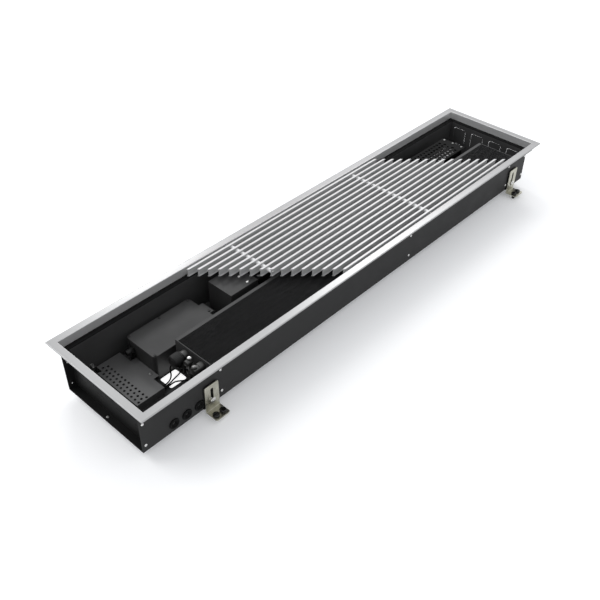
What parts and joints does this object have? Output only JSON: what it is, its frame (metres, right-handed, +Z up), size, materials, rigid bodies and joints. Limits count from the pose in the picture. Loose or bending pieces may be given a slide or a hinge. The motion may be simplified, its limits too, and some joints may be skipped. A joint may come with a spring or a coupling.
{
  "type": "trench convector heater",
  "caption": "Long sheet-steel trough heater for a floor channel, with frame, lift-out grille, heat exchanger, cross-flow fan, valves and control box.",
  "frame": {"origin": "on the floor under the feet, below the middle of the trough", "axes": "+X along the trough from the connection end to the far end, +Y across it to the fan side, +Z up"},
  "size_m": [1.3208, 0.2986, 0.1355],
  "materials": {
    "black_steel": "fine matt powder coat",
    "grey_sheet": "satin dark grey coat",
    "black_fins": "matt black coated fins",
    "anodised": "natural anodised",
    "bar_aluminium": "natural anodised",
    "impeller_aluminium": "plain",
    "bright_steel": "zinc plated, bright",
    "dark_steel": "blackened",
    "zinc": "zinc plated, glossy",
    "coated_copper": "copper tube, coated black with the fins",
    "nickel_brass": "nickel plated, satin",
    "black_rubber": "matt",
    "black_plastic": "satin",
    "grey_plastic": "fine grain",
    "terminal_plastic": "satin dark grey",
    "board_green": "solder mask",
    "board_parts": "mixed",
    "motor_grey": "satin",
    "white_label": "blank film"
  },
  "bodies": {
    "casing": {"casing_trough": "black_steel", "end_plate_near": "black_steel", "end_plate_far": "black_steel", "frame_front": "anodised", "frame_rear": "anodised", "frame_near": "anodised", "frame_far": "anodised", "ledge_strips": "black_rubber", "fins": "black_fins", "hairpin_tubes": "coated_copper", "return_bend": "coated_copper", "coil_cheeks": "grey_sheet", "coil_holders": "grey_sheet", "rim_plate": "grey_sheet", "supply_valve": "nickel_brass", "valve_actuator": "grey_plastic", "return_valve": "nickel_brass", "air_vent": "nickel_brass", "control_box": "grey_plastic", "control_lid": "grey_plastic", "lid_screws": "dark_steel", "cable_gland": "black_plastic", "circuit_board": "board_green", "board_parts": "board_parts", "terminal_strip": "terminal_plastic", "cover_plate": "grey_sheet", "panel_screws": "bright_steel", "fan_motor": "motor_grey", "motor_cover": "grey_sheet", "fan_bearing": "black_rubber", "fan_scroll": "grey_sheet", "fan_end_plates": "grey_sheet", "fan_guard": "grey_sheet", "wall_screws": "bright_steel", "grommets": "black_rubber", "earth_bolt": "bright_steel", "label_plate": "white_label", "inner_cables": "black_rubber", "bracket_pads": "black_rubber", "clamp_bolts": "bright_steel"},
    "grille": {"grille_bars": "bar_aluminium", "grille_rods": "bright_steel", "grille_sleeves": "bright_steel"},
    "fan_rotor": {"fan_shaft": "bright_steel", "fan_impeller": "impeller_aluminium"},
    "valve_pin": {"actuator_pin": "bright_steel"},
    "return_screw": {"return_spindle": "bright_steel"},
    "bleed_screw": {"vent_screw": "bright_steel"},
    "bracket_front_near": {"bracket_front_near": "zinc"},
    "level_front_near_a": {"level_front_near_a": "black_plastic"},
    "level_front_near_b": {"level_front_near_b": "black_plastic"},
    "bracket_front_far": {"bracket_front_far": "zinc"},
    "level_front_far_a": {"level_front_far_a": "black_plastic"},
    "level_front_far_b": {"level_front_far_b": "black_plastic"},
    "bracket_rear_near": {"bracket_rear_near": "zinc"},
    "level_rear_near_a": {"level_rear_near_a": "black_plastic"},
    "level_rear_near_b": {"level_rear_near_b": "black_plastic"},
    "bracket_rear_far": {"bracket_rear_far": "zinc"},
    "level_rear_far_a": {"level_rear_far_a": "black_plastic"},
    "level_rear_far_b": {"level_rear_far_b": "black_plastic"}
  },
  "joints": [
    {"name": "grille_lift", "type": "slide", "parent": "casing", "child": "grille", "axis": [0, 0, 1], "range_m": [0, 0.1]},
    {"name": "fan_spin", "type": "hinge", "parent": "casing", "child": "fan_rotor", "pos_m": [0, 0.043, 0.0775], "axis": [1, 0, 0], "continuous": true},
    {"name": "valve_pin_stroke", "type": "slide", "parent": "casing", "child": "valve_pin", "axis": [1, 0, 0], "range_m": [0, 0.003], "stiffness_N_per_m": 2000},
    {"name": "return_screw_turn", "type": "hinge", "parent": "casing", "child": "return_screw", "pos_m": [-0.4935, -0.0845, 0.1005], "axis": [0, 0, 1], "range_deg": [0, 360]},
    {"name": "bleed_screw_turn", "type": "hinge", "parent": "casing", "child": "bleed_screw", "pos_m": [-0.485, -0.061, 0.1005], "axis": [0, 0, 1], "range_deg": [0, 360]},
    {"name": "bracket_front_near_height", "type": "slide", "parent": "casing", "child": "bracket_front_near", "axis": [0, 0, 1], "range_m": [-0.0265, 0.0065]},
    {"name": "level_front_near_a_turn_out", "type": "slide", "parent": "bracket_front_near", "child": "level_front_near_a", "axis": [0, 0, 1], "range_m": [0, 0.01]},
    {"name": "level_front_near_b_turn_out", "type": "slide", "parent": "bracket_front_near", "child": "level_front_near_b", "axis": [0, 0, 1], "range_m": [0, 0.01]},
    {"name": "bracket_front_far_height", "type": "slide", "parent": "casing", "child": "bracket_front_far", "axis": [0, 0, 1], "range_m": [-0.0265, 0.0065]},
    {"name": "level_front_far_a_turn_out", "type": "slide", "parent": "bracket_front_far", "child": "level_front_far_a", "axis": [0, 0, 1], "range_m": [0, 0.01]},
    {"name": "level_front_far_b_turn_out", "type": "slide", "parent": "bracket_front_far", "child": "level_front_far_b", "axis": [0, 0, 1], "range_m": [0, 0.01]},
    {"name": "bracket_rear_near_height", "type": "slide", "parent": "casing", "child": "bracket_rear_near", "axis": [0, 0, 1], "range_m": [-0.0265, 0.0065]},
    {"name": "level_rear_near_a_turn_out", "type": "slide", "parent": "bracket_rear_near", "child": "level_rear_near_a", "axis": [0, 0, 1], "range_m": [0, 0.01]},
    {"name": "level_rear_near_b_turn_out", "type": "slide", "parent": "bracket_rear_near", "child": "level_rear_near_b", "axis": [0, 0, 1], "range_m": [0, 0.01]},
    {"name": "bracket_rear_far_height", "type": "slide", "parent": "casing", "child": "bracket_rear_far", "axis": [0, 0, 1], "range_m": [-0.0265, 0.0065]},
    {"name": "level_rear_far_a_turn_out", "type": "slide", "parent": "bracket_rear_far", "child": "level_rear_far_a", "axis": [0, 0, 1], "range_m": [0, 0.01]},
    {"name": "level_rear_far_b_turn_out", "type": "slide", "parent": "bracket_rear_far", "child": "level_rear_far_b", "axis": [0, 0, 1], "range_m": [0, 0.01]}
  ]
}
